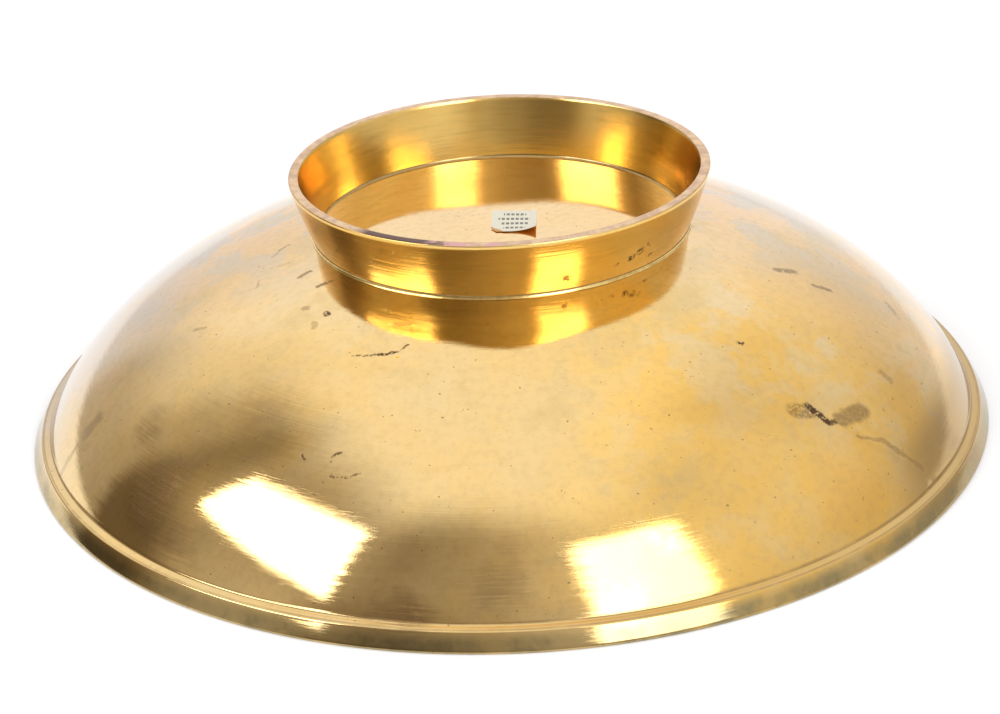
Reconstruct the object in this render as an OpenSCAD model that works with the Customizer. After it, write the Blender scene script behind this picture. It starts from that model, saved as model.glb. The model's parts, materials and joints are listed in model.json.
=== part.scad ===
// Footed offering plate of turned brass, resting upside down on its rim with its foot ring upwards.
// Z = 0 is the plane that the rim rests on, and the Z axis is the axis of every turned part.

/* [Bowl] */
// Diameter across the rim
rim_d = 305; // [254:1:356]
// Thickness of the bowl's wall
wall_t = 2; // [1.6:0.1:2.6]
// Height that the bowl's curve would reach at its centre, if its base weren't turned flat
crown_h = 70.3; // [62:0.1:78]
// Depth of the curve's centre under the rim plane
curve_drop = 20.4; // [16:0.1:26]
// Share of the rim's diameter that is the half width of the curve
curve_share = 0.502; // [0.5:0.001:0.505]

/* [Rim band] */
// Height of the raised band's upper edge
band_h = 5.1; // [4:0.1:6]
// Level width of the ledge between the band and the wall
ledge_w = 2; // [1.4:0.1:2.4]
// Rise of the ledge from the band to the wall
ledge_rise = 0.9; // [0.5:0.1:1.2]
// Bulge of the band's face and sag of the ledge, from a straight line
band_bulge = 0.3; // [0.1:0.05:0.4]
// Rounding of the rim's outer edge
lip_r = 0.8; // [0.5:0.1:1]

/* [Foot ring] */
// Outer diameter where the foot stands on the bowl
foot_base_d = 117.8; // [114:0.2:122]
// Outer diameter at the foot's tip, under its bevel
foot_tip_d = 130.7; // [126:0.1:136]
// Height of the foot over the bowl's flat base
foot_h = 19.1; // [14:0.1:26]
// Thickness of the foot at its base
foot_base_t = 1.9; // [1.7:0.1:2.6]
// Bulge of the foot's outer face from a straight line
foot_bulge = 0.15; // [0:0.05:0.3]
// Hollow of the foot's inner face from a straight line
foot_hollow = 0.45; // [0:0.05:0.5]
// Width of the flat land that the plate stands on in use
land_w = 2.5; // [1.8:0.1:3]
// Bevel between the land and the foot's outside, across and down
foot_bevel = 0.6; // [0.3:0.1:1]

/* [Braze] */
// Thickness of the braze under the foot
braze_t = 0.2; // [0.1:0.05:0.3]
// Height of the outer fillet on the foot
fillet_outer = 1.3; // [0.8:0.1:1.6]
// Height of the inner fillet on the foot
fillet_inner = 1; // [0.6:0.1:1.4]

/* [Paper label] */
// Width of the label
label_w = 14; // [10:0.5:20]
// Length of the label
label_l = 17; // [12:0.5:22]
// Size of the corner that is torn off
label_tear = 3; // [1:0.5:5]
// Thickness of the paper
label_t = 0.2; // [0.1:0.05:0.3]
// Thickness of the gum under the paper
gum_t = 0.1; // [0.05:0.05:0.2]
// Turn of the label in degrees
label_turn = -3; // [-20:1:20]

/* [Felt pad] */
// Diameter of the felt
felt_d = 108; // [90:1:108]
// Thickness of the felt
felt_t = 2.5; // [1.5:0.1:4]
// Thickness of the board behind the felt
board_t = 1.5; // [1:0.1:2]
// Distance from the felt's edge in to the board's edge
board_inset = 1; // [0.5:0.5:3]
// Thickness of the adhesive behind the board
adhesive_t = 0.2; // [0.1:0.05:0.3]

/* [Hidden] */

rim_r = rim_d / 2;
curve_a = curve_share * rim_d;
curve_b = crown_h + curve_drop;
wall_steps = 40;
arc_steps = 8;
round_fn = 180;

// The base is flat from just inside the foot's outer edge inwards.
base_edge = 0.5;
base_r = foot_base_d / 2 - base_edge;
base_turn = asin(base_r / curve_a);
base_h = curve_point(base_turn)[1];
well_h = base_h - wall_t;

foot_z = base_h + braze_t;
foot_top = base_h + foot_h;
foot_base_r = foot_base_d / 2;
foot_tip_r = foot_tip_d / 2;
foot_inner_base_r = foot_base_r - foot_base_t;
foot_inner_tip_r = foot_tip_r - foot_bevel - land_w;

label_pos = [3.9, -0.7, base_h];
brass = [0.83, 0.62, 0.27];

// Point of the bowl's curve at a turn from the axis in degrees, moved in by inset across the wall
function curve_point(turn, inset = 0) =
    let (across = [sin(turn) / curve_a, cos(turn) / curve_b])
    [curve_a * sin(turn), curve_b * cos(turn) - curve_drop] - inset * across / norm(across);

// Turn at which the moved curve comes down to a height, found by halving
function turn_at(height, inset, low = 0, high = 89, rounds = 24) =
    let (middle = (low + high) / 2)
    rounds == 0 ? middle :
    curve_point(middle, inset)[1] > height
        ? turn_at(height, inset, middle, high, rounds - 1)
        : turn_at(height, inset, low, middle, rounds - 1);

// Points along the curve between two turns, both ends included
function curve_points(from, to, inset = 0) =
    [for (i = [0 : wall_steps]) curve_point(from + (to - from) * i / wall_steps, inset)];

// The same points with the first and last set exactly level with the flat faces they meet
function levelled(points, first_h, last_h) =
    [for (i = [0 : len(points) - 1])
        i == 0 ? [points[i][0], first_h] :
        i == len(points) - 1 ? [points[i][0], last_h] : points[i]];

// Points on a shallow curve from p to q that stands sag to the left of the straight line
function shallow_curve(p, q, sag) =
    let (along = q - p, left = [-along[1], along[0]] / norm(along))
    [for (i = [0 : arc_steps])
        let (s = i / arc_steps)
        p + s * along + 4 * s * (1 - s) * sag * left];

ledge_turn = turn_at(band_h + ledge_rise, 0);
ledge_top = curve_point(ledge_turn);
ledge_edge = ledge_top + [ledge_w, -ledge_rise];
lip_centre = [rim_r - lip_r, lip_r];
lip_turn = 40;

// Outline of the bowl's wall, from the rim over the outside to the axis and back inside
function bowl_outline() = concat(
    [for (i = [0 : arc_steps])
        let (turn = -90 + (90 + lip_turn) * i / arc_steps)
        lip_centre + lip_r * [cos(turn), sin(turn)]],
    shallow_curve(lip_centre + lip_r * [cos(lip_turn), sin(lip_turn)], ledge_edge, -band_bulge),
    shallow_curve(ledge_edge, ledge_top, band_bulge / 2),
    curve_points(ledge_turn, base_turn),
    [[0, base_h], [0, well_h]],
    levelled(curve_points(turn_at(well_h, wall_t), turn_at(0, wall_t), wall_t), well_h, 0)
);

// Both faces of the foot's wall, from its base up
foot_outer = shallow_curve(
    [foot_base_r, foot_z], [foot_tip_r, foot_top - foot_bevel], -foot_bulge);
foot_inner = shallow_curve([foot_inner_base_r, foot_z], [foot_inner_tip_r, foot_top], -foot_hollow);

function foot_outline() = concat(
    foot_outer,
    [[foot_tip_r - foot_bevel, foot_top]],
    [for (i = [arc_steps : -1 : 0]) foot_inner[i]]
);

// Point on the lowest stretch of one of the foot's faces, at a rise over its base
function on_face(face, rise) = face[0] + (face[1] - face[0]) * rise / (face[1][1] - face[0][1]);

module turned(outline) rotate_extrude($fn = round_fn) polygon(outline);

module disc(d, z, t) translate([0, 0, z]) cylinder(d = d, h = t, $fn = round_fn);

module bowl() color(brass) turned(bowl_outline());

module foot_ring() color(brass) turned(foot_outline());

// Braze that runs under the foot and rises in a hollow fillet on both sides of it
module braze_joint() color([0.88, 0.76, 0.45]) {
    outer_top = on_face(foot_outer, fillet_outer);
    outer_toe = curve_point(asin((foot_base_r + 1.2 * fillet_outer) / curve_a));
    inner_top = on_face(foot_inner, fillet_inner);
    inner_toe = [foot_inner_base_r - fillet_inner, base_h];
    turned(concat(
        [inner_toe, curve_point(base_turn), outer_toe],
        shallow_curve(outer_toe, outer_top, fillet_outer / 5),
        [[foot_base_r, foot_z], [foot_inner_base_r, foot_z]],
        shallow_curve(inner_top, inner_toe, fillet_inner / 5)
    ));
}

// Outline of the label with one corner torn off, drawn in by inset
module label_area(inset = 0) {
    x = label_w / 2 - inset;
    y = label_l / 2 - inset;
    polygon([[label_tear - x, -y], [x, -y], [x, y], [-x, y], [-x, label_tear - y]]);
}

module on_base(lift) translate(label_pos + [0, 0, lift]) rotate(label_turn) children();

module label_gum() color([0.78, 0.55, 0.25]) on_base(0) linear_extrude(gum_t) label_area(0.5);

module label_paper() color([0.93, 0.92, 0.84]) on_base(gum_t) linear_extrude(label_t) label_area();

module pad_adhesive() color([0.85, 0.8, 0.6])
    disc(felt_d - 2 * board_inset, well_h - adhesive_t, adhesive_t);

module pad_board() color([0.62, 0.52, 0.4])
    disc(felt_d - 2 * board_inset, well_h - adhesive_t - board_t, board_t);

module pad_felt() color([0.45, 0.06, 0.1])
    disc(felt_d, well_h - adhesive_t - board_t - felt_t, felt_t);

bowl();
foot_ring();
braze_joint();
label_paper();
label_gum();
pad_felt();
pad_board();
pad_adhesive();
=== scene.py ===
import json
from math import asin, cos, exp, hypot, pi, radians, sin

import bpy
from mathutils import Matrix, Vector, noise

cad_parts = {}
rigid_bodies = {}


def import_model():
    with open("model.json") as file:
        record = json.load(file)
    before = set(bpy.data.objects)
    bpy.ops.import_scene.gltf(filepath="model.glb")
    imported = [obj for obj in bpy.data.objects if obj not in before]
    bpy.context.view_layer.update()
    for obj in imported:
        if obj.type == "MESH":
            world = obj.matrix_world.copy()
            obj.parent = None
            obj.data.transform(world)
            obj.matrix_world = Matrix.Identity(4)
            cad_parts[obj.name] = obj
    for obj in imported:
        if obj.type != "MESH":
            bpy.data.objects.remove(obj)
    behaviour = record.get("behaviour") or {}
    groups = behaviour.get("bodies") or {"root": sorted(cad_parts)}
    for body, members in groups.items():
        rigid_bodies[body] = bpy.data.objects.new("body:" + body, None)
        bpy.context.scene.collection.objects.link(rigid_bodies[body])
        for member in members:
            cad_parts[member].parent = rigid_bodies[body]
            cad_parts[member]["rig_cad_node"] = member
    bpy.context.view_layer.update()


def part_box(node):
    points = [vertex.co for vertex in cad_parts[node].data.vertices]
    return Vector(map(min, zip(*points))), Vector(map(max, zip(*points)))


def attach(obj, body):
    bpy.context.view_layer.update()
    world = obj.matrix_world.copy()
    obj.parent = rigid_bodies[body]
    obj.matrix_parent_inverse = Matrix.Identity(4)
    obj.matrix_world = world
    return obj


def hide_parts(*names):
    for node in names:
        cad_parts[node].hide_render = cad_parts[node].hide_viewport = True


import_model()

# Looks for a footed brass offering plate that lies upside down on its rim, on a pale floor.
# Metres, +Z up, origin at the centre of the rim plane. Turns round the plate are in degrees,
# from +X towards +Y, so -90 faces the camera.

MM = 0.001

# ---------------------------------------------------------------- sizes

# From the frame
bowl_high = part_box("bowl")[1]
foot_low, foot_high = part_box("foot_ring")
label_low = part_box("label_paper")[0]
gum_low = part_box("label_gum")[0]
felt_low, felt_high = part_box("pad_felt")

RIM_R = bowl_high.x - 0.3 * MM
BASE_H = bowl_high.z
FOOT_Z = foot_low.z
FOOT_TOP = foot_high.z
FOOT_TIP_R = foot_high.x

# Sections of the bowl, foot and braze: the CAD model's, with the ledge, band, lip and the foot's
# faces shaped more finely where the photograph shows their reflections
CURVE_A = 153.11 * MM
CURVE_B = 90.7 * MM
CURVE_DROP = 20.4 * MM
WALL_T = 2.0 * MM
BAND_H = 5.5 * MM
LEDGE_W = 2.9 * MM
LEDGE_RISE = 0.5 * MM
BAND_BULGE = 0.04 * MM
LIP_R = 0.6 * MM
FOOT_BASE_R = 58.9 * MM
FOOT_BASE_T = 1.6 * MM
FOOT_BULGE = 0.3 * MM
FOOT_BEVEL = 0.4 * MM
LAND_W = 2.6 * MM
FILLET_OUTER = 0.6 * MM
FILLET_INNER = 0.5 * MM
WELL_CROWN = 0.6 * MM
WELL_SWELL = 0.6 * MM


# ---------------------------------------------------------------- sections of the turned parts

def between(a, b, steps):
    """Evenly spaced values from a to b, both included."""
    return [a + (b - a) * i / steps for i in range(steps + 1)]


def curve_point(turn, inset=0.0):
    """Point (r, z) of the bowl's elliptical curve at a turn from the axis, moved in by an inset."""
    across = Vector((sin(turn) / CURVE_A, cos(turn) / CURVE_B)).normalized()
    return Vector((CURVE_A * sin(turn), CURVE_B * cos(turn) - CURVE_DROP)) - inset * across


def turn_at(height, inset=0.0):
    """Turn at which the moved curve comes down to a height, found by halving."""
    low, high = 0.0, pi / 2
    for _ in range(50):
        middle = (low + high) / 2
        if curve_point(middle, inset).y > height:
            low = middle
        else:
            high = middle
    return low


def straight(p, q, steps):
    return [p.lerp(q, s) for s in between(0, 1, steps)]


def shallow_curve(p, q, sag, steps):
    """Points from p to q on a shallow curve that stands sag to the left of the straight line."""
    along = q - p
    left = Vector((-along.y, along.x)).normalized()
    return [p + s * along + 4 * s * (1 - s) * sag * left for s in between(0, 1, steps)]


def round_edge(centre, radius, from_deg, to_deg, steps):
    return [
        centre + radius * Vector((cos(radians(a)), sin(radians(a))))
        for a in between(from_deg, to_deg, steps)
    ]


BASE_TURN = turn_at(BASE_H - 1e-7)
LEDGE_TURN = turn_at(BAND_H + LEDGE_RISE)
LEDGE_TOP = curve_point(LEDGE_TURN)
LEDGE_EDGE = LEDGE_TOP + Vector((LEDGE_W, -LEDGE_RISE))
WELL_H = BASE_H - WALL_T
BEVEL_R = FOOT_TIP_R - FOOT_BEVEL
WELL_R = FOOT_BASE_R - 3 * MM


def bowl_section():
    """The bowl, from the axis over the outside to the rim and back along the inside."""
    wall = [curve_point(t) for t in between(BASE_TURN, turn_at(LEDGE_TOP.y + 0.4 * MM), 150)]
    hollow_end = LEDGE_TOP.lerp(LEDGE_EDGE, 0.28)
    lip = round_edge(Vector((RIM_R - LIP_R, LIP_R)), LIP_R, 25, -90, 10)
    corner_in, corner_out = hollow_end.lerp(LEDGE_EDGE, 0.82), LEDGE_EDGE.lerp(lip[0], 0.09)
    inside_turns = between(turn_at(0, WALL_T), turn_at(WELL_H, WALL_T), 16)
    inside = [curve_point(t, WALL_T) for t in inside_turns]
    return (
        straight(Vector((0, BASE_H)), wall[0], 44)
        + wall[1:]
        + shallow_curve(wall[-1], hollow_end, -0.13 * MM, 6)[1:]
        + straight(hollow_end, corner_in, 3)[1:]
        + shallow_curve(corner_in, corner_out, 0.10 * MM, 6)[1:]
        + shallow_curve(corner_out, lip[0], BAND_BULGE, 8)[1:]
        + lip[1:]
        + inside
        + straight(inside[-1], Vector((0, WELL_H)), 6)[1:]
    )


def foot_faces():
    """The foot's outer and inner faces, both from the base up."""
    outer_base = Vector((FOOT_BASE_R, FOOT_Z))
    outer_tip = Vector((FOOT_TIP_R, FOOT_TOP - FOOT_BEVEL))
    inner_base = Vector((FOOT_BASE_R - FOOT_BASE_T, FOOT_Z))
    inner_tip = Vector((BEVEL_R - LAND_W, FOOT_TOP))
    outer = shallow_curve(outer_base, outer_tip, -FOOT_BULGE, 16)
    return outer, straight(inner_base, inner_tip, 16)


def foot_section():
    """The foot, up its outer face, over the land with its worn corners, and down the inner face."""
    outer, inner = foot_faces()
    worn = 0.12 * MM
    land_out, land_in = Vector((BEVEL_R, FOOT_TOP)), inner[-1]
    down = (inner[-2] - inner[-1]).normalized()
    return (
        outer[:-1]
        + [outer[-1] - Vector((0.3, 1)).normalized() * worn]
        + [outer[-1] + Vector((-1, 1)).normalized() * worn]
        + [land_out + Vector((1, -1)).normalized() * worn, land_out - Vector((worn, 0))]
        + straight(land_out - Vector((worn, 0)), land_in + Vector((worn, 0)), 5)[1:]
        + [land_in + down * worn]
        + inner[-2::-1]
        + straight(inner[0], outer[0], 3)[1:-1]
    )


def face_point(face, rise):
    """Point on one of the foot's faces at a rise over its base."""
    for a, b in zip(face, face[1:]):
        if b.y - face[0].y >= rise:
            return a.lerp(b, (face[0].y + rise - a.y) / (b.y - a.y))
    return face[-1]


def braze_section():
    """The braze, from its inner toe under the foot to its outer toe and back over both fillets."""
    outer, inner = foot_faces()
    outer_top, inner_top = face_point(outer, FILLET_OUTER), face_point(inner, FILLET_INNER)
    outer_toe = curve_point(asin((FOOT_BASE_R + 1.2 * FILLET_OUTER) / CURVE_A))
    inner_toe = Vector((FOOT_BASE_R - FOOT_BASE_T - FILLET_INNER, BASE_H))
    return (
        [inner_toe, curve_point(BASE_TURN), outer_toe]
        + shallow_curve(outer_toe, outer_top, FILLET_OUTER / 5, 8)[1:]
        + [outer[0], inner[0]]
        + shallow_curve(inner_top, inner_toe, FILLET_INNER / 5, 8)[:-1]
    )


# ---------------------------------------------------------------- dents, ripples and unevenness

def at(turn, radius):
    """Point on the bowl's outside at a turn round the plate and a radius in millimetres."""
    r = radius * MM
    height = BASE_H if r < FOOT_BASE_R else curve_point(asin(r / CURVE_A)).y
    return Vector((r * cos(radians(turn)), r * sin(radians(turn)), height))


def waves(place, size, seed):
    """Smooth unevenness of one size, from -1 to 1."""
    return 1.6 * noise.noise(place / size + Vector((seed, -seed, 2 * seed)))


def hump(place, centre, reach):
    """1 at a centre, falling off smoothly over a reach."""
    return exp(-((place - centre).length / reach) ** 2)


# Dents in the outside: two ends, width and depth in millimetres (a negative depth stands proud)
DENTS = [
    (at(-121, 87), at(-112, 83.5), 1.6, 0.22),
    (at(-112, 83.5), at(-111.7, 79.5), 1.4, 0.20),
    (at(-43, 123), at(-40, 124.5), 4.0, 0.30),
    (at(-36.3, 127), at(-36.3, 129.5), 3.0, 0.12),
    (at(-40, 131), at(-36, 139), 1.6, 0.20),
    (at(-36, 139), at(-32.6, 146), 1.6, 0.20),
    (at(-37, 138), at(-34, 145), 5.0, -0.16),
    (at(-53.6, 112.2), at(-47, 111.7), 1.2, 0.08),
    (at(-93, 141), at(-88, 143), 3.0, -0.10),
]


def dent_depth(place):
    """How deep the dents are at a place, each across and around its line."""
    depth = 0.0
    for a, b, width, deep in DENTS:
        if (place - a).length > 25 * MM:
            continue
        share = max(0.0, min(1.0, (place - a).dot(b - a) / (b - a).length_squared))
        away = (place - a.lerp(b, share)).length / (width * MM)
        if away < 3:
            depth += deep * MM * exp(-away * away)
    return depth


# Unevenness of the base and of the wall: height and size in millimetres, and seed
WELL_WAVES = [(0.05, 38, 3), (0.02, 15, 5)]
WALL_WAVES = [(0.10, 62, 1), (0.03, 24, 2), (0.006, 8, 4)]

# Broad swells and hollows of the wall: centre, reach and height in millimetres
SWELLS = [(at(-94, 98), 17, 0.7), (at(-88, 70), 13, -0.5), (at(-114, 70), 12, -0.25)]


def unevenness(place, layers):
    return sum(height * waves(place, size * MM, seed) for height, size, seed in layers) * MM


def well_height(place):
    """How far the base inside the foot stands over its edge: it falls away towards the foot."""
    level_r = 30 * MM
    rolled_off = (max(0.0, hypot(place.x, place.y) - level_r) / (WELL_R - level_r)) ** 2
    swell = hump(Vector((place.x, place.y)), Vector((-8, 4)) * MM, 20 * MM)
    return (1 - rolled_off) * WELL_CROWN + swell * WELL_SWELL


def bowl_relief(place, normal):
    """How far the bowl's outside stands proud of its true shape."""
    r = hypot(place.x, place.y)
    if normal.z < 0 or place.z < LEDGE_TOP.y + 0.2 * MM:
        return 0.0
    if r < WELL_R:
        fade = min(1.0, (WELL_R - r) / (8 * MM))
        return fade * unevenness(place, WELL_WAVES) + well_height(place)
    from_foot, from_ledge = r - FOOT_BASE_R - 2 * MM, place.z - LEDGE_TOP.y
    fade = max(0.0, min(1.0, from_foot / (12 * MM), from_ledge / (12 * MM)))
    swell = sum(height * hump(place, centre, reach * MM) for centre, reach, height in SWELLS) * MM
    return fade * (unevenness(place, WALL_WAVES) + swell) - dent_depth(place)


# ---------------------------------------------------------------- meshes

def lathe(name, section, segments, relief=None):
    """A closed surface of revolution from (r, z) points; points on the axis become poles."""
    verts, rings = [], []
    for p in section:
        count = 1 if p.x < 1e-9 else segments
        rings.append(range(len(verts), len(verts) + count))
        for k in range(count):
            turn = 2 * pi * k / count
            verts.append(Vector((p.x * cos(turn), p.x * sin(turn), p.y)))
    open_ends = section[0].x > 1e-9
    faces = []
    for a, b in list(zip(rings, rings[1:])) + ([(rings[-1], rings[0])] if open_ends else []):
        for k in range(segments):
            n = (k + 1) % segments
            if len(a) == 1:
                faces.append((a[0], b[k], b[n]))
            elif len(b) == 1:
                faces.append((a[k], b[0], a[n]))
            else:
                faces.append((a[k], b[k], b[n], a[n]))
    mesh = bpy.data.meshes.new(name)
    mesh.from_pydata(verts, [], faces)
    mesh.validate()
    if relief:
        normals = [v.normal.copy() for v in mesh.vertices]
        for vertex, normal in zip(mesh.vertices, normals):
            vertex.co += relief(vertex.co, normal) * normal
    mesh.shade_smooth()
    return add_piece(name, mesh)


def add_piece(name, mesh):
    piece = bpy.data.objects.new(name, mesh)
    bpy.context.scene.collection.objects.link(piece)
    return piece


def finish_piece(piece, material, slot, *nodes):
    piece.data.materials.clear()
    piece.data.materials.append(material)
    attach(piece, "root")
    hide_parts(*nodes)


# ---------------------------------------------------------------- node graphs

class Graph:
    """A node tree, with short ways to add and join nodes."""

    def __init__(self, tree):
        self.tree = tree

    def add(self, kind, settings=None, **inputs):
        node = self.tree.nodes.new(kind)
        for key, value in (settings or {}).items():
            setattr(node, key, value)
        for key, value in inputs.items():
            self.put(node.inputs[key.replace("_", " ")], value)
        return node

    def put(self, socket, value):
        if isinstance(value, bpy.types.NodeSocket):
            self.tree.links.new(value, socket)
        else:
            socket.default_value = value

    def math(self, operation, *values, clamp=False):
        node = self.tree.nodes.new("ShaderNodeMath")
        node.operation = operation
        node.use_clamp = clamp
        for socket, value in zip(node.inputs, values):
            self.put(socket, value)
        return node.outputs[0]

    def times(self, a, b):
        return self.math("MULTIPLY", a, b)

    def plus(self, a, b):
        return self.math("ADD", a, b)

    def minus(self, a, b):
        return self.math("SUBTRACT", a, b)

    def larger(self, a, b):
        return self.math("MAXIMUM", a, b)

    def vector(self, operation, a, b=None):
        node = self.tree.nodes.new("ShaderNodeVectorMath")
        node.operation = operation
        self.put(node.inputs[0], a)
        if b is not None:
            self.put(node.inputs["Scale" if operation == "SCALE" else 1], b)
        is_number = operation in ("DOT_PRODUCT", "LENGTH", "DISTANCE")
        return node.outputs["Value" if is_number else "Vector"]

    def mix(self, share, a, b):
        node = self.tree.nodes.new("ShaderNodeMix")
        node.data_type = "RGBA"
        self.put(node.inputs[0], share)
        self.put(node.inputs[6], a)
        self.put(node.inputs[7], b)
        return node.outputs[2]

    def noise(self, vector, scale, detail=2.0, roughness=0.5, distortion=0.0, out="Fac"):
        return self.add(
            "ShaderNodeTexNoise", Vector=vector, Scale=scale, Detail=detail,
            Roughness=roughness, Distortion=distortion,
        ).outputs[out]

    def ramp(self, value, low, high, to_low=0.0, to_high=1.0, soft=True):
        kind = "SMOOTHSTEP" if soft else "LINEAR"
        node = self.add("ShaderNodeMapRange", {"interpolation_type": kind})
        for socket, v in zip(node.inputs, (value, low, high, to_low, to_high)):
            self.put(socket, v)
        return node.outputs[0]

    def ramp_mm(self, value, low, high, to_low=0.0, to_high=1.0):
        """A ramp of a length, with its ends in millimetres."""
        return self.ramp(value, low * MM, high * MM, to_low, to_high)

    def strip(self, value, a, b, c, d):
        """1 where a length is from b to c millimetres, fading to 0 at a and d."""
        return self.times(self.ramp_mm(value, a, b), self.ramp_mm(value, d, c))

    def spot(self, place, centre, reach, core):
        """1 within core millimetres of a centre, fading to 0 at reach."""
        return self.ramp_mm(self.vector("DISTANCE", place, tuple(centre)), reach, core)

    def stops(self, value, low, high, points, scale=1.0):
        """A curve through (position, height) points, with positions from low to high."""
        node = self.add("ShaderNodeValToRGB", Fac=self.ramp(value, low, high, soft=False))
        node.color_ramp.interpolation = "EASE"
        elements = node.color_ramp.elements
        while len(elements) < len(points):
            elements.new(0.5)
        for element, (position, _) in zip(elements, points):
            element.position = (position - low) / (high - low)
        for element, (_, height) in zip(elements, points):
            element.color = (height / scale, height / scale, height / scale, 1)
        return self.times(node.outputs[0], scale)

    def place(self):
        return self.add("ShaderNodeTexCoord").outputs["Object"]


def material_graph(name):
    material = bpy.data.materials.new(name)
    material.use_nodes = True
    graph = Graph(material.node_tree)
    return material, graph, material.node_tree.nodes["Principled BSDF"].inputs


def rgb(r, g, b):
    return (r, g, b, 1.0)


# ---------------------------------------------------------------- brass

# The bowl's brass, and what tarnish and light make of it in places
GOLD = rgb(0.90, 0.64, 0.285)
DEEP_GOLD = rgb(0.99, 0.61, 0.155)
PALE_GOLD = rgb(0.87, 0.70, 0.41)
OLIVE_GOLD = rgb(0.76, 0.55, 0.24)
SHADED_GOLD = rgb(0.46, 0.29, 0.10)
ROSE_GOLD = rgb(0.98, 0.67, 0.34)
AMBER_GOLD = rgb(0.97, 0.56, 0.11)
# Painted reflection: pinkish-grey and orange tints for the back and sides
GREY_REFLECTION_PAINT = rgb(0.70, 0.61, 0.53)
ORANGE_REFLECTION_PAINT = rgb(0.98, 0.63, 0.34)
# Painted reflection for the far left
FAR_LEFT_REFLECTION_PAINT = rgb(0.66, 0.57, 0.50)

# Marks on the bowl
BAND_SHADE = rgb(0.34, 0.27, 0.13)
LEDGE_TONE = rgb(0.62, 0.41, 0.15)
LEDGE_LINE = rgb(0.26, 0.14, 0.05)
MOTTLE = rgb(0.60, 0.42, 0.18)
SPECK = rgb(0.30, 0.18, 0.08)
DULLED = rgb(0.30, 0.17, 0.07)
STAIN = rgb(0.36, 0.23, 0.09)
DIRT = rgb(0.12, 0.06, 0.025)

# The foot, its worn land and the braze
FOOT_GOLD = rgb(0.89, 0.62, 0.21)
FOOT_DEEP_GOLD = rgb(0.88, 0.56, 0.155)
FOOT_STREAK = rgb(0.62, 0.42, 0.12)
FOOT_PIT = rgb(0.16, 0.09, 0.03)
LAND_BRIGHT = rgb(0.86, 0.61, 0.38)
LAND_DULL = rgb(0.64, 0.42, 0.27)
LAND_STAIN = rgb(0.16, 0.085, 0.07)
LAND_PINK = rgb(0.75, 0.42, 0.40)
BRAZE_BRIGHT = rgb(0.95, 0.70, 0.27)
BRAZE_DULL = rgb(0.66, 0.44, 0.15)
BRAZE_DIRT = rgb(0.22, 0.12, 0.04)
BRAZE_INSIDE = rgb(0.40, 0.27, 0.11)


def turned_coordinates(g, place):
    """X, Y and Z, the radius, and a maker of vectors that are stretched along the turning lines."""
    parts = g.add("ShaderNodeSeparateXYZ", Vector=place).outputs
    level = g.add("ShaderNodeCombineXYZ", X=parts[0], Y=parts[1]).outputs[0]
    radius = g.larger(g.vector("LENGTH", level), 0.001)
    travel = g.minus(radius, parts[2])
    around_x = g.math("DIVIDE", parts[0], radius)
    around_y = g.math("DIVIDE", parts[1], radius)

    def lines(per_mm, per_turn):
        return g.add(
            "ShaderNodeCombineXYZ", X=g.times(travel, 1000 * per_mm),
            Y=g.times(around_x, per_turn), Z=g.times(around_y, per_turn),
        ).outputs[0]

    return parts, radius, lines


def stroke(g, place, a, b, width):
    """1 on the line from a to b, fading to 0 at a width to either side."""
    along = b - a
    from_a = g.vector("SUBTRACT", place, tuple(a))
    progress = g.vector("DOT_PRODUCT", from_a, tuple(along))
    share = g.math("MULTIPLY", progress, 1 / along.length_squared, clamp=True)
    nearest = g.vector("SCALE", tuple(along), share)
    away = g.vector("LENGTH", g.vector("SUBTRACT", from_a, nearest))
    return g.ramp_mm(away, width, 0.45 * width)


# Marks on the bowl: two ends, width in millimetres and strength. Dirt and dark scratches
DARK_MARKS = [
    (at(-121.2, 86.6), at(-115.7, 84.8), 0.6, 0.7),
    (at(-115.7, 84.8), at(-112.2, 82.6), 0.8, 1.0),
    (at(-112.2, 82.6), at(-110.9, 79.8), 0.6, 0.9),
    (at(-134.7, 75.2), at(-134.0, 75.6), 1.3, 1.0),
    (at(-45.9, 96.2), at(-45.3, 96.6), 1.0, 1.0),
    (at(-47.2, 119.2), at(-44.8, 121.0), 3.2, 0.55),
    (at(-44.4, 119.8), at(-43.4, 125.0), 1.8, 1.0),
    (at(-43.6, 125.2), at(-42.2, 126.0), 1.2, 0.9),
    (at(-17.6, 87.2), at(-15.2, 91.8), 1.8, 0.6),
    (at(-16.6, 98.6), at(-15.2, 102.9), 1.3, 0.6),
    (at(-7.5, 120), at(-9.5, 123), 1.6, 0.35),
    (at(-115.3, 116.9), at(-114.4, 115.6), 0.7, 0.9),
    (at(-119.9, 118.2), at(-119.2, 118.8), 0.6, 0.9),
    (at(-114.6, 121.6), at(-112.4, 121.4), 0.6, 0.85),
    (at(-112.4, 121.4), at(-110.6, 120.1), 0.4, 0.7),
]

# Stains of brown varnish and dulled spots
DULL_MARKS = [
    (at(-173.7, 69.4), at(-174.8, 66.8), 0.9, 0.75),
    (at(-171.3, 72.3), at(-172.3, 70.3), 0.7, 0.6),
    (at(-153.9, 68.7), at(-153.9, 65.2), 1.1, 0.95),
    (at(-145.1, 68.0), at(-144.1, 64.2), 1.2, 0.95),
    (at(-159.6, 80.3), at(-162.0, 78.4), 0.8, 0.45),
    (at(-165.6, 77.1), at(-163.4, 66.5), 0.45, 0.45),
    (at(-141.0, 76.8), at(-140.4, 76.2), 1.5, 0.6),
    (at(-134.9, 79.6), at(-134.0, 81.2), 1.3, 0.5),
    (at(-158.5, 101.0), at(-157.0, 98.6), 1.0, 0.5),
    (at(-116.4, 72.4), at(-113.2, 71.6), 1.2, 0.6),
    (at(-159.2, 133.0), at(-159.6, 137.4), 3.2, 0.6),
    (at(-160.0, 140.0), at(-160.6, 146.0), 1.6, 0.4),
    (at(-41.0, 126.2), at(-36.6, 127.4), 3.6, 0.85),
    (at(-27.2, 124.1), at(-26.9, 127.0), 1.6, 0.5),
    (at(-37.4, 134.4), at(-33.2, 143.6), 1.2, 0.65),
    (at(-40.5, 131.2), at(-37.4, 134.4), 0.9, 0.55),
]

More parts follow.
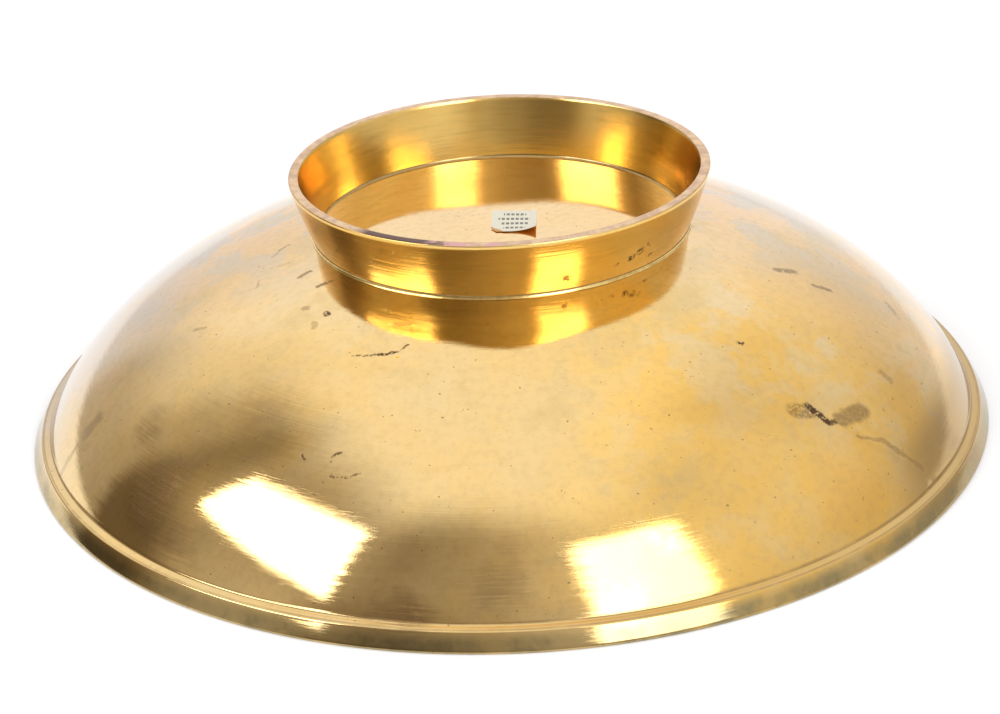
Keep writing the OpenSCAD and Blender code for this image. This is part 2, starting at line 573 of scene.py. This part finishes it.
# Broad dull patches: centre, reach in millimetres and strength
DULL_PATCHES = [
    (at(-139, 136), 16, 1.0),
    (at(-132, 142), 13, 0.35),
    (at(-102.5, 145), 11, 0.95),
    (at(-146, 126), 10, 0.45),
    (at(-92, 141), 13, 0.45),
    (at(-23, 146), 14, 0.35),
    (at(-130, 108), 16, 0.3),
]


def combine(g, masks):
    total = masks[0]
    for m in masks[1:]:
        total = g.larger(total, m)
    return total


def strokes(g, place, marks):
    """The strongest of a list of marks at each place."""
    return combine(g, [
        g.times(stroke(g, place, a, b, width), strength)
        for a, b, width, strength in marks
    ])


def wandering(g, place, scale, reach):
    """The place moved about by noise, for ragged edges."""
    offset = g.vector("SUBTRACT", g.noise(place, scale, 3.0, 0.6, out="Color"), (0.5, 0.5, 0.5))
    return g.vector("ADD", place, g.vector("SCALE", offset, reach * MM))


def streaked_normal(g, parts, radius, lines, along, across, per_mm=0.9, per_turn=5.0):
    """The normal, tipped a little along and across the turning lines so that reflections streak."""
    normal = g.add("ShaderNodeNewGeometry").outputs["Normal"]
    around = g.add(
        "ShaderNodeCombineXYZ", X=g.math("DIVIDE", g.times(parts[1], -1.0), radius),
        Y=g.math("DIVIDE", parts[0], radius),
    ).outputs[0]
    upward = g.vector("CROSS_PRODUCT", normal, around)
    first = g.minus(g.noise(lines(per_mm, per_turn), 1.0, 4.0, 0.65), 0.5)
    second = g.minus(g.noise(lines(per_mm * 1.3, per_turn * 0.7), 1.0, 4.0, 0.65), 0.5)
    tipped = g.vector("ADD", normal, g.vector("SCALE", around, g.times(first, along)))
    tipped = g.vector("ADD", tipped, g.vector("SCALE", upward, g.times(second, across)))
    return g.vector("NORMALIZE", tipped)


def bowl_tarnish_and_painted_light(g, parts, radius, cloudy, wide, close):
    """The brass under its marks: clouds on the right, painted reflection in grey, orange and tan at
    the back and left, and painted shade low at the far right and along the band.
    """
    x, y, z = parts[0], parts[1], parts[2]
    right = g.ramp_mm(x, -10, 60)
    deep = g.times(g.ramp(wide, 0.38, 0.58), g.ramp(right, 0, 1, 0.35, 1.0))
    colour = g.mix(deep, GOLD, DEEP_GOLD)
    pale = g.times(g.ramp(close, 0.46, 0.66), g.ramp(right, 0, 1, 0.35, 0.85))
    pale = g.times(pale, g.ramp_mm(y, -110, -40, 0.4, 1.0))
    colour = g.mix(pale, colour, PALE_GOLD)

    # Painted reflection: a pinkish-grey and orange tint over the back and sides, standing in for
    # the white surroundings that the brass shows at a grazing angle
    back = g.times(g.ramp_mm(y, -75, 30), g.ramp_mm(radius, 55, 60))
    film = g.mix(g.ramp(close, 0.44, 0.57), GREY_REFLECTION_PAINT, ORANGE_REFLECTION_PAINT)
    colour = g.mix(g.times(back, g.ramp_mm(y, 20, 100, 0.85, 0.4)), colour, film)
    # Painted reflection: a greyish tan tint at the far left
    far_left = g.times(g.ramp_mm(y, -50, 0), g.ramp_mm(x, -85, -115))
    colour = g.mix(g.times(far_left, 0.75), colour, FAR_LEFT_REFLECTION_PAINT)
    olive = g.ramp(g.noise(cloudy, 33.0, 5.0, 0.6), 0.50, 0.66, 0.0, 0.55)
    colour = g.mix(olive, colour, OLIVE_GOLD)

    # Painted shade low down at the far right, and warmer brass inside the foot and at the right
    # front
    low_right = g.times(g.ramp_mm(radius, 134, 142), g.ramp_mm(x, 104, 124))
    colour = g.mix(g.times(low_right, 0.85), colour, SHADED_GOLD)
    colour = g.mix(g.ramp_mm(radius, 57.5, 55, 0.0, 0.65), colour, ROSE_GOLD)
    colour = g.mix(g.times(g.spot(cloudy, at(-46, 141), 24, 8), 0.75), colour, AMBER_GOLD)

    # Painted shade: the band darkens towards the floor
    low_band = g.times(g.ramp_mm(z, 5.8, 2.5, 0.25, 1.0), g.ramp_mm(radius, 149, 150))
    low_band = g.times(low_band, g.ramp(close, 0.35, 0.6, 1.0, 0.55))
    return g.mix(low_band, colour, BAND_SHADE)


def ledge_masks(g, parts, radius):
    """The dull ledge over the band, and the dark lines along its two edges."""
    from_ledge = g.minus(radius, LEDGE_TOP.x)
    outside = g.ramp_mm(parts[2], 3.5, 4.5)
    duller_right = g.ramp_mm(parts[0], -40, 50, 0.25, 0.8)
    ledge = g.times(g.strip(from_ledge, -0.6, 0.2, 2.6, 3.2), duller_right)
    upper_edge = g.times(g.strip(from_ledge, -0.5, -0.1, 0.1, 0.4), 0.5)
    lower_edge = g.times(g.strip(from_ledge, 1.8, 2.2, 2.4, 2.8), 0.45)
    patchy = g.ramp(g.noise(g.place(), 90.0, 4.0, 0.6), 0.35, 0.6, 0.45, 1.0)
    edges = g.times(g.larger(upper_edge, lower_edge), patchy)
    return g.times(ledge, outside), g.times(edges, outside)


def bowl_brass():
    """Polished brass with turning lines, cloudy tarnish, stains and scratches, and painted
    reflection and shade in places.
    """
    material, g, shader = material_graph("bowl_brass")
    place = g.place()
    parts, radius, lines = turned_coordinates(g, place)
    cloudy = wandering(g, place, 45.0, 26)
    wide = g.noise(cloudy, 19.0, 4.0, 0.55)
    close = g.noise(cloudy, 52.0, 4.0, 0.6)
    colour = bowl_tarnish_and_painted_light(g, parts, radius, cloudy, wide, close)

    # Fine mottling and pinprick specks
    fine = g.noise(place, 420.0, 3.0, 0.6)
    colour = g.mix(g.ramp(fine, 0.40, 0.75, 0.0, 0.25), colour, MOTTLE)
    specks = g.ramp(g.noise(place, 800.0, 1.0, 0.4), 0.75, 0.79)
    colour = g.mix(g.times(specks, 0.7), colour, SPECK)

    # Broad dull patches, broken up along the turning lines
    broken = g.plus(g.noise(lines(0.9, 7.0), 1.0, 5.0, 0.65), g.times(close, 0.6))
    dull = combine(g, [
        g.times(g.spot(cloudy, centre, reach, 0.2 * reach), strength)
        for centre, reach, strength in DULL_PATCHES
    ])
    dull = g.times(dull, g.ramp(broken, 0.58, 0.88))
    colour = g.mix(dull, colour, DULLED)

    # Stains, dirt and scratches with ragged edges
    ragged = wandering(g, wandering(g, place, 260.0, 2.4), 1100.0, 1.0)
    spotty = g.noise(place, 900.0, 3.0, 0.7)
    stains = strokes(g, ragged, DULL_MARKS)
    colour = g.mix(g.times(stains, g.ramp(spotty, 0.3, 0.6, 0.7, 1.0)), colour, STAIN)
    dirt = g.times(strokes(g, ragged, DARK_MARKS), g.ramp(spotty, 0.36, 0.48))
    colour = g.mix(dirt, colour, DIRT)

    ledge, ledge_edges = ledge_masks(g, parts, radius)
    colour = g.mix(ledge, colour, LEDGE_TONE)
    colour = g.mix(ledge_edges, colour, LEDGE_LINE)
    g.put(shader["Base Color"], colour)

    # Hazy where tarnished, sharpest near the foot
    smear = g.noise(lines(1.2, 3.0), 1.0, 4.0, 0.6)
    rough = g.plus(g.ramp(smear, 0.35, 0.75, 0.02, 0.06), g.times(g.ramp(wide, 0.4, 0.65), 0.04))
    rough = g.times(rough, g.ramp_mm(radius, 60, 95, 0.2, 1.0))
    marked = g.larger(g.larger(dull, stains), dirt)
    rough = g.plus(rough, g.times(marked, 0.3))
    g.put(shader["Roughness"], g.plus(rough, g.times(ledge, 0.12)))
    shader["Metallic"].default_value = 1.0
    shader["Coat Weight"].default_value = 0.25
    shader["Coat Roughness"].default_value = 0.10

    # A fine grain, and turning marks that fade towards the foot
    height = g.plus(g.noise(lines(2.4, 2.0), 1.0, 5.0, 0.7), g.times(fine, 0.4))
    height = g.minus(height, g.times(dirt, 3.0))
    bump = g.add("ShaderNodeBump", Strength=0.10, Distance=0.1 * MM, Height=height)
    fade = g.ramp_mm(radius, 58, 90, 0.10, 1.0)
    streaked = streaked_normal(g, parts, radius, lines, g.times(fade, 0.050), g.times(fade, 0.036))
    g.put(bump.inputs["Normal"], streaked)
    g.put(shader["Normal"], bump.outputs[0])
    return material


def foot_spot(turn, rise):
    """Point of the foot's outside at a turn round the plate and a rise in millimetres."""
    p = face_point(foot_faces()[0], rise * MM)
    return (p.x * cos(radians(turn)), p.x * sin(radians(turn)), p.y)


# Pits and rough spots on the foot's outside: turn, rise and reach in millimetres, and strength
FOOT_PITS = [
    (-128, 9, 1.0, 0.7),
    (-120, 14, 0.8, 0.5),
    (-72.5, 4.5, 2.0, 0.8),
    (-57, 5.5, 1.2, 0.9),
    (-52, 6.0, 2.0, 1.0),
    (-49, 7.5, 2.0, 0.9),
    (-46, 9.0, 1.5, 0.9),
    (-44, 4.0, 1.0, 0.9),
]


def foot_brass():
    """Deeper golden brass with satin turning lines, pits, and a worn, stained land."""
    material, g, shader = material_graph("foot_brass")
    place = g.place()
    parts, radius, lines = turned_coordinates(g, place)
    clouds = g.noise(place, 30.0, 4.0, 0.55, 0.8)
    colour = g.mix(g.ramp(clouds, 0.38, 0.65), FOOT_GOLD, FOOT_DEEP_GOLD)
    streaks = g.ramp(g.noise(lines(1.0, 4.0), 1.0, 4.0, 0.6), 0.45, 0.8, 0.0, 0.45)
    colour = g.mix(streaks, colour, FOOT_STREAK)
    ragged = wandering(g, wandering(g, place, 260.0, 2.0), 1100.0, 1.0)
    pits = combine(g, [
        g.times(g.spot(ragged, foot_spot(turn, rise), size, 0.4 * size), strength)
        for turn, rise, size, strength in FOOT_PITS
    ])
    pits = g.times(pits, g.ramp(g.noise(place, 900.0, 3.0, 0.7), 0.42, 0.56))
    colour = g.mix(pits, colour, FOOT_PIT)

    # The land: worn to a pinkish grey, with a dark purple stain and a pink patch in front
    land = g.ramp(parts[2], FOOT_TOP - 0.3 * MM, FOOT_TOP - 0.15 * MM)
    rubbed = g.ramp(g.noise(place, 220.0, 4.0, 0.7), 0.35, 0.65)
    worn = g.mix(rubbed, LAND_BRIGHT, LAND_DULL)
    stain = g.times(g.spot(ragged, foot_spot(-117, 19), 17, 12), g.ramp(clouds, 0.3, 0.5, 0.6, 1.0))
    worn = g.mix(stain, worn, LAND_STAIN)
    blush = g.ramp(g.noise(place, 300.0, 3.0), 0.45, 0.55)
    blush = g.times(g.spot(ragged, foot_spot(-100, 19), 13, 8), blush)
    worn = g.mix(blush, worn, LAND_PINK)
    colour = g.mix(land, colour, worn)
    g.put(shader["Base Color"], colour)
    shader["Metallic"].default_value = 1.0
    g.put(shader["Roughness"], g.plus(g.ramp(land, 0, 1, 0.17, 0.38), g.times(pits, 0.3)))
    grain = g.times(g.noise(place, 500.0, 2.0), 0.3)
    height = g.plus(g.noise(lines(3.0, 2.5), 1.0, 5.0, 0.7), grain)
    height = g.minus(height, g.times(pits, 3.0))
    bump = g.add("ShaderNodeBump", Strength=0.14, Distance=0.1 * MM, Height=height)

    # Streakier outside than inside, by how far a point lies outside the line up the outer face
    lean = (FOOT_TIP_R - FOOT_BASE_R) / (FOOT_TOP - FOOT_Z)
    past_face = g.minus(g.minus(radius, FOOT_BASE_R - lean * FOOT_Z), g.times(parts[2], lean))
    across = g.ramp(past_face, -1.1 * MM, -0.6 * MM, 0.10, 0.28)
    g.put(bump.inputs["Normal"], streaked_normal(g, parts, radius, lines, 0.03, across, 5.0, 3.0))
    g.put(shader["Normal"], bump.outputs[0])
    return material


def braze_metal():
    """Pale brazing brass with dirt caught along both edges."""
    material, g, shader = material_graph("braze")
    place = g.place()
    parts, radius, _ = turned_coordinates(g, place)
    dirt = g.noise(place, 260.0, 4.0, 0.65)
    colour = g.mix(g.ramp(dirt, 0.4, 0.65), BRAZE_BRIGHT, BRAZE_DULL)
    edge = g.ramp(parts[2], FOOT_Z + 0.15 * MM, FOOT_Z + 0.35 * MM)
    colour = g.mix(g.times(edge, 0.9), colour, BRAZE_DIRT)
    inner = g.ramp(radius, FOOT_BASE_R - 1.0 * MM, FOOT_BASE_R - 1.5 * MM)
    colour = g.mix(g.times(inner, 0.8), colour, BRAZE_INSIDE)
    g.put(shader["Base Color"], colour)
    shader["Metallic"].default_value = 1.0
    g.put(shader["Roughness"], g.ramp(dirt, 0.3, 0.7, 0.12, 0.25))
    bump = g.add("ShaderNodeBump", Strength=0.3, Distance=0.1 * MM, Height=dirt)
    g.put(shader["Normal"], bump.outputs[0])
    return material


# ---------------------------------------------------------------- paper label

LABEL_SPAN = Vector((14, 17)) * MM
LABEL_TURN = radians(-3)
LABEL_CENTRE = Vector((3.9, -3.0)) * MM
CORNER_LIFT = 1.7 * MM
EDGE_CURL = 0.25 * MM
PAPER_COCKLE = 0.08 * MM


def label_shape(u, v):
    """Where a point of the label lies, from its middle, with the lifted corner and curling edge."""
    x, y = u * LABEL_SPAN.x, v * LABEL_SPAN.y
    lift = CORNER_LIFT * max(0.0, 1.1 * (u - v - 1) + 0.62) ** 2 / 0.38
    lift += EDGE_CURL * max(0.0, -v - 0.28) / 0.22
    lift += PAPER_COCKLE * waves(Vector((x, y, 0)), 7 * MM, 6)
    return Vector((x, y, max(0.0, lift)))


def label_piece(name, inset, torn_corner, base, thickness):
    """A thin sheet that follows label_shape, with one corner torn off."""
    steps = 30
    shrink_u, shrink_v = 1 - 2 * inset / LABEL_SPAN.x, 1 - 2 * inset / LABEL_SPAN.y
    points = {}
    for i in range(steps + 1):
        for j in range(steps + 1):
            u, v = i / steps - 0.5, j / steps - 0.5
            if (u + 0.5) * LABEL_SPAN.x + (v + 0.5) * LABEL_SPAN.y >= torn_corner:
                points[i, j] = label_shape(u * shrink_u, v * shrink_v)
    verts, index = [], {}
    for layer in (0, 1):
        for key, p in points.items():
            index[key + (layer,)] = len(verts)
            height = base - BASE_H + layer * thickness + well_height(LABEL_CENTRE + p.xy)
            verts.append(p + Vector((0, 0, height)))
    faces, edges = [], {}
    for i, j in points:
        ring = [(i, j), (i + 1, j), (i + 1, j + 1), (i, j + 1)]
        if all(key in points for key in ring):
            faces.append([index[key + (1,)] for key in ring])
            faces.append([index[key + (0,)] for key in reversed(ring)])
            for a, b in zip(ring, ring[1:] + ring[:1]):
                edges[a, b] = edges.get((a, b), 0) + 1
    for a, b in edges:
        if (b, a) not in edges:
            faces.append([index[a + (0,)], index[b + (0,)], index[b + (1,)], index[a + (1,)]])
    mesh = bpy.data.meshes.new(name)
    mesh.from_pydata(verts, [], faces)
    mesh.validate()
    mesh.shade_smooth()
    mesh.set_sharp_from_angle(angle=radians(40))
    piece = add_piece(name, mesh)
    piece.location = (LABEL_CENTRE.x, LABEL_CENTRE.y, BASE_H)
    piece.rotation_euler.z = LABEL_TURN
    return piece


# The rows of bars on the label: height, middle and half width in millimetres
LABEL_ROWS = [(5.2, 0.2, 3.6), (1.6, 0.0, 5.0), (-2.0, 0.3, 4.2), (-5.4, 0.2, 3.4)]
ROW_HALF_H = 0.95
BAR_PITCH = 1.45 * MM


def label_paper():
    """Aged white paper with four rows of plain grey bars instead of words."""
    material, g, shader = material_graph("label_paper")
    place = g.place()
    parts = g.add("ShaderNodeSeparateXYZ", Vector=place).outputs
    fibres = g.noise(place, 900.0, 4.0, 0.6)
    colour = g.mix(fibres, rgb(0.70, 0.68, 0.56), rgb(0.80, 0.78, 0.68))

    def near(value, middle, half, soft):
        """1 within half a width of a middle, with soft edges, all in millimetres."""
        return g.ramp_mm(g.math("ABSOLUTE", g.minus(value, middle * MM)), half, half - soft)

    rows = combine(g, [
        g.times(near(parts[1], y, ROW_HALF_H, 0.25), near(parts[0], x, half, 0.2))
        for y, x, half in LABEL_ROWS
    ])
    ticks = g.ramp(g.math("FRACT", g.times(parts[0], 1 / BAR_PITCH)), 0.28, 0.36)
    ink = g.times(g.times(rows, ticks), g.ramp(fibres, 0.3, 0.6, 0.65, 0.9))
    g.put(shader["Base Color"], g.mix(ink, colour, rgb(0.12, 0.12, 0.11)))
    shader["Roughness"].default_value = 0.75
    shader["Specular IOR Level"].default_value = 0.25
    bump = g.add("ShaderNodeBump", Strength=0.3, Distance=0.1 * MM, Height=fibres)
    g.put(shader["Normal"], bump.outputs[0])
    return material


def label_gum():
    """Old gum that has gone orange-brown."""
    material, g, shader = material_graph("label_gum")
    flecks = g.noise(g.place(), 500.0, 4.0, 0.6)
    g.put(shader["Base Color"], g.mix(flecks, rgb(0.50, 0.22, 0.05), rgb(0.75, 0.40, 0.12)))
    g.put(shader["Roughness"], g.ramp(flecks, 0.3, 0.7, 0.35, 0.6))
    bump = g.add("ShaderNodeBump", Strength=0.3, Distance=0.1 * MM, Height=flecks)
    g.put(shader["Normal"], bump.outputs[0])
    return material


# ---------------------------------------------------------------- felt pad inside the bowl

def felt_section():
    """The felt's half section: flat where it is stuck on, with full, rounded edges."""
    top, low, edge = felt_high.z, felt_low.z, felt_high.x
    half = (top - low) / 2
    rounding = round_edge(Vector((edge - half, low + half)), half, 90, -90, 12)
    free_face = straight(rounding[-1], Vector((0, low)), 40)
    return straight(Vector((0, top)), rounding[0], 6) + rounding[1:] + free_face[1:]


def felt_relief(place, normal):
    """How far the felt's free face and edge stand proud; its glued face stays flat."""
    if normal.z > 0.2:
        return 0.0
    return (0.12 * waves(place, 9 * MM, 7) + 0.06 * waves(place, 3 * MM, 8)) * MM


def felt_cloth():
    """Dark red felt: matted fibres that catch the light at the edges."""
    material, g, shader = material_graph("pad_felt")
    place = g.place()
    fibres = g.noise(wandering(g, place, 300.0, 3), 1400.0, 6.0, 0.7, 1.5)
    worn = g.noise(place, 40.0, 3.0)
    colour = g.mix(g.ramp(fibres, 0.35, 0.65), rgb(0.13, 0.010, 0.014), rgb(0.30, 0.030, 0.035))
    colour = g.mix(g.ramp(worn, 0.5, 0.8, 0.0, 0.4), colour, rgb(0.36, 0.09, 0.07))
    g.put(shader["Base Color"], colour)
    shader["Roughness"].default_value = 0.95
    shader["Sheen Weight"].default_value = 0.6
    shader["Sheen Roughness"].default_value = 0.5
    bump = g.add("ShaderNodeBump", Strength=0.7, Distance=0.4 * MM, Height=fibres)
    g.put(shader["Normal"], bump.outputs[0])
    return material


def pad_board():
    """Grey-brown card: pressed fibres with darker flecks."""
    material, g, shader = material_graph("pad_board")
    place = g.place()
    flecks = g.ramp(g.noise(place, 700.0, 3.0, 0.6), 0.60, 0.70)
    colour = g.mix(g.noise(place, 160.0, 5.0, 0.6), rgb(0.34, 0.27, 0.18), rgb(0.46, 0.38, 0.27))
    g.put(shader["Base Color"], g.mix(flecks, colour, rgb(0.20, 0.15, 0.10)))
    shader["Roughness"].default_value = 0.85
    grain = g.noise(place, 900.0, 4.0)
    bump = g.add("ShaderNodeBump", Strength=0.4, Distance=0.2 * MM, Height=grain)
    g.put(shader["Normal"], bump.outputs[0])
    return material


def pad_adhesive():
    """Amber contact glue with a brushed skin."""
    material, g, shader = material_graph("pad_adhesive")
    place = g.place()
    brushed = g.noise(g.vector("MULTIPLY", place, (1.0, 6.0, 1.0)), 120.0, 4.0, 0.6)
    g.put(shader["Base Color"], g.mix(brushed, rgb(0.48, 0.28, 0.08), rgb(0.66, 0.44, 0.16)))
    g.put(shader["Roughness"], g.ramp(brushed, 0.3, 0.7, 0.25, 0.5))
    bump = g.add("ShaderNodeBump", Strength=0.4, Distance=0.1 * MM, Height=brushed)
    g.put(shader["Normal"], bump.outputs[0])
    return material


# ---------------------------------------------------------------- camera, light and floor

LENS = 89.8
CAMERA_PLACE = Vector((0, -723.71925, 358.08525)) * MM
CAMERA_TURN, CAMERA_PITCH, CAMERA_ROLL = radians(0.196), radians(-25.26), radians(-2.71)
LIGHT_DISTANCE = 3.0
LIGHT_RADIANCE = 4.5
CEILING_LIGHT = 1.06

# The room that the brass reflects, low down and halfway up: turns in degrees from the camera's
# side towards the right, and brightness
ROOM_LOW = [
    (-180, 1.02), (-160, 0.88), (-148, 0.82), (-139, 0.56), (-128, 0.50), (-117, 0.44),
    (-111, 0.15), (-98, 0.15), (-80, 0.50), (-58, 0.60), (-42, 0.20), (-26, 0.20), (-8, 0.34),
    (8, 0.50), (34, 0.86), (60, 0.76), (100, 0.66), (124, 0.60), (146, 0.80), (164, 0.98),
    (180, 1.02),
]
ROOM_MIDDLE = [
    (-180, 1.05), (-150, 1.08), (-132, 0.86), (-119, 0.50), (-106, 0.28), (-92, 0.45), (-50, 0.48),
    (-36, 0.32), (-22, 0.38), (-8, 0.46), (6, 0.60), (18, 0.70), (50, 0.88), (64, 0.84),
    (96, 0.86), (112, 0.78), (132, 0.86), (152, 1.02), (180, 1.05),
]
# How high the white ceiling starts, in degrees, at each turn
CEILING = [
    (-180, 50), (-135, 52), (-108, 60), (-76, 64), (-46, 61), (-18, 66),
    (6, 66), (30, 60), (66, 69), (110, 66), (140, 56), (180, 50),
]


def make_camera():
    """The photograph's view: a long lens from 25 degrees above the front, a little askew."""
    camera = bpy.data.objects.new("camera", bpy.data.cameras.new("camera"))
    bpy.context.scene.collection.objects.link(camera)
    bpy.context.scene.camera = camera
    camera.data.sensor_width = 36
    camera.data.lens = LENS
    aim = Matrix.Rotation(CAMERA_TURN, 4, "Z") @ Matrix.Rotation(pi / 2 + CAMERA_PITCH, 4, "X")
    roll = Matrix.Rotation(CAMERA_ROLL, 4, "Z")
    camera.matrix_world = Matrix.Translation(CAMERA_PLACE) @ aim @ roll
    camera.data.clip_start = 0.01


def way(turn, rise):
    """Direction from the plate: a turn from the camera's side towards the right, and a rise."""
    t, e = radians(turn), radians(rise)
    return Vector((sin(t) * cos(e), -cos(t) * cos(e), sin(e)))


def softbox(name, near, corners):
    """A glowing card, whose corners are seen from a point of the plate at given turns and rises."""
    mesh = bpy.data.meshes.new(name)
    mesh.from_pydata([near + LIGHT_DISTANCE * way(*c) for c in corners], [], [(0, 1, 2), (0, 2, 3)])
    card = bpy.data.objects.new(name, mesh)
    bpy.context.scene.collection.objects.link(card)
    card.visible_camera = False
    material = bpy.data.materials.new(name)
    material.use_nodes = True
    g = Graph(material.node_tree)
    material.node_tree.nodes.clear()
    glow = g.add("ShaderNodeEmission", Strength=LIGHT_RADIANCE)
    glow.inputs["Color"].default_value = rgb(1, 1, 1)
    g.put(g.add("ShaderNodeOutputMaterial").inputs["Surface"], glow.outputs[0])
    mesh.materials.append(material)


def make_world():
    """A white studio behind and overhead, with a dark room in front and on the left."""
    world = bpy.data.worlds.new("studio")
    bpy.context.scene.world = world
    world.use_nodes = True
    g = Graph(world.node_tree)
    around = g.add("ShaderNodeTexCoord").outputs["Generated"]
    parts = g.add("ShaderNodeSeparateXYZ", Vector=around).outputs
    turn = g.times(g.math("ARCTAN2", parts[0], g.times(parts[1], -1.0)), 180 / pi)
    rise = g.times(g.math("ARCSINE", parts[2]), 180 / pi)
    low = g.stops(turn, -180, 180, ROOM_LOW, 1.2)
    middle = g.stops(turn, -180, 180, ROOM_MIDDLE, 1.2)
    ceiling = g.stops(turn, -180, 180, CEILING, 80)
    upper = g.ramp(g.minus(rise, ceiling), -10, 10)
    # The low room gives way to the middle one between rises of 12 and 36 degrees
    room = g.plus(low, g.times(g.ramp(rise, 12, 36), g.minus(middle, low)))
    light = g.plus(room, g.times(upper, g.minus(CEILING_LIGHT, room)))
    # The darker parts of the room are the warmer
    green, blue = g.math("POWER", light, 1.12), g.math("POWER", light, 1.3)
    tint = g.add("ShaderNodeCombineColor", Red=light, Green=green, Blue=blue)
    # The camera itself sees plain white behind the floor
    seen = g.add("ShaderNodeLightPath").outputs["Is Camera Ray"]
    background = world.node_tree.nodes["Background"].inputs
    g.put(background["Color"], g.mix(seen, tint.outputs[0], rgb(1, 1, 1)))
    background["Strength"].default_value = 1.0


def make_floor():
    """Plain white paper that glows a little, so that it stays as white as in the photograph."""
    mesh = bpy.data.meshes.new("floor")
    reach = 12
    corners = [(-reach, -reach, 0), (reach, -reach, 0), (reach, reach, 0), (-reach, reach, 0)]
    mesh.from_pydata(corners, [], [(0, 1, 2, 3)])
    floor = bpy.data.objects.new("floor", mesh)
    bpy.context.scene.collection.objects.link(floor)
    material, g, shader = material_graph("floor_paper")
    grain = g.noise(g.place(), 300.0, 3.0)
    g.put(shader["Base Color"], g.mix(grain, rgb(0.85, 0.86, 0.88), rgb(0.87, 0.88, 0.90)))
    shader["Emission Color"].default_value = rgb(1, 1, 1)
    shader["Emission Strength"].default_value = 0.16
    shader["Roughness"].default_value = 0.9
    shader["Specular IOR Level"].default_value = 0.1
    mesh.materials.append(material)


# ---------------------------------------------------------------- the plate

def make_bowl():
    bowl = lathe("bowl_shell", bowl_section(), 600, bowl_relief)
    bowl.data.set_sharp_from_angle(angle=radians(28))
    finish_piece(bowl, bowl_brass(), "bowl_brass", "bowl")


def make_foot():
    foot = lathe("foot_band", foot_section(), 360)
    foot.data.set_sharp_from_angle(angle=radians(50))
    finish_piece(foot, foot_brass(), "foot_brass", "foot_ring")
    braze = lathe("braze_bead", braze_section(), 300)
    braze.data.set_sharp_from_angle(angle=radians(60))
    finish_piece(braze, braze_metal(), "braze", "braze_joint")


def make_label():
    """The sheet, and the film of gum under it, which is a little smaller."""
    sheet = label_piece("label_sheet", 0.0, 3.6 * MM, label_low.z, 0.12 * MM)
    finish_piece(sheet, label_paper(), "label_paper", "label_paper")
    film = label_piece("label_glue", 0.2 * MM, 1.4 * MM, gum_low.z, 0.09 * MM)
    finish_piece(film, label_gum(), "label_gum", "label_gum")


def make_pad():
    """The felt, rounded and a little uneven, and materials for the board and adhesive under it."""
    felt = lathe("felt_pad", felt_section(), 144, felt_relief)
    finish_piece(felt, felt_cloth(), "pad_felt", "pad_felt")
    for node, material in (("pad_board", pad_board()), ("pad_adhesive", pad_adhesive())):
        for item in bpy.data.objects:
            if item.get("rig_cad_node") == node:
                item.data.materials.clear()
                item.data.materials.append(material)


make_camera()
make_world()
make_floor()
softbox("softbox_left", at(-115, 125), [(-94, 31.5), (-93, 46.2), (-49.5, 52.8), (-46, 25.2)])
softbox("softbox_right", at(-70, 125), [(17.2, 20.4), (17.2, 52.6), (50.2, 51.2), (46.4, 20.4)])
make_bowl()
make_foot()
make_label()
make_pad()

bpy.context.scene.view_settings.view_transform = "Standard"
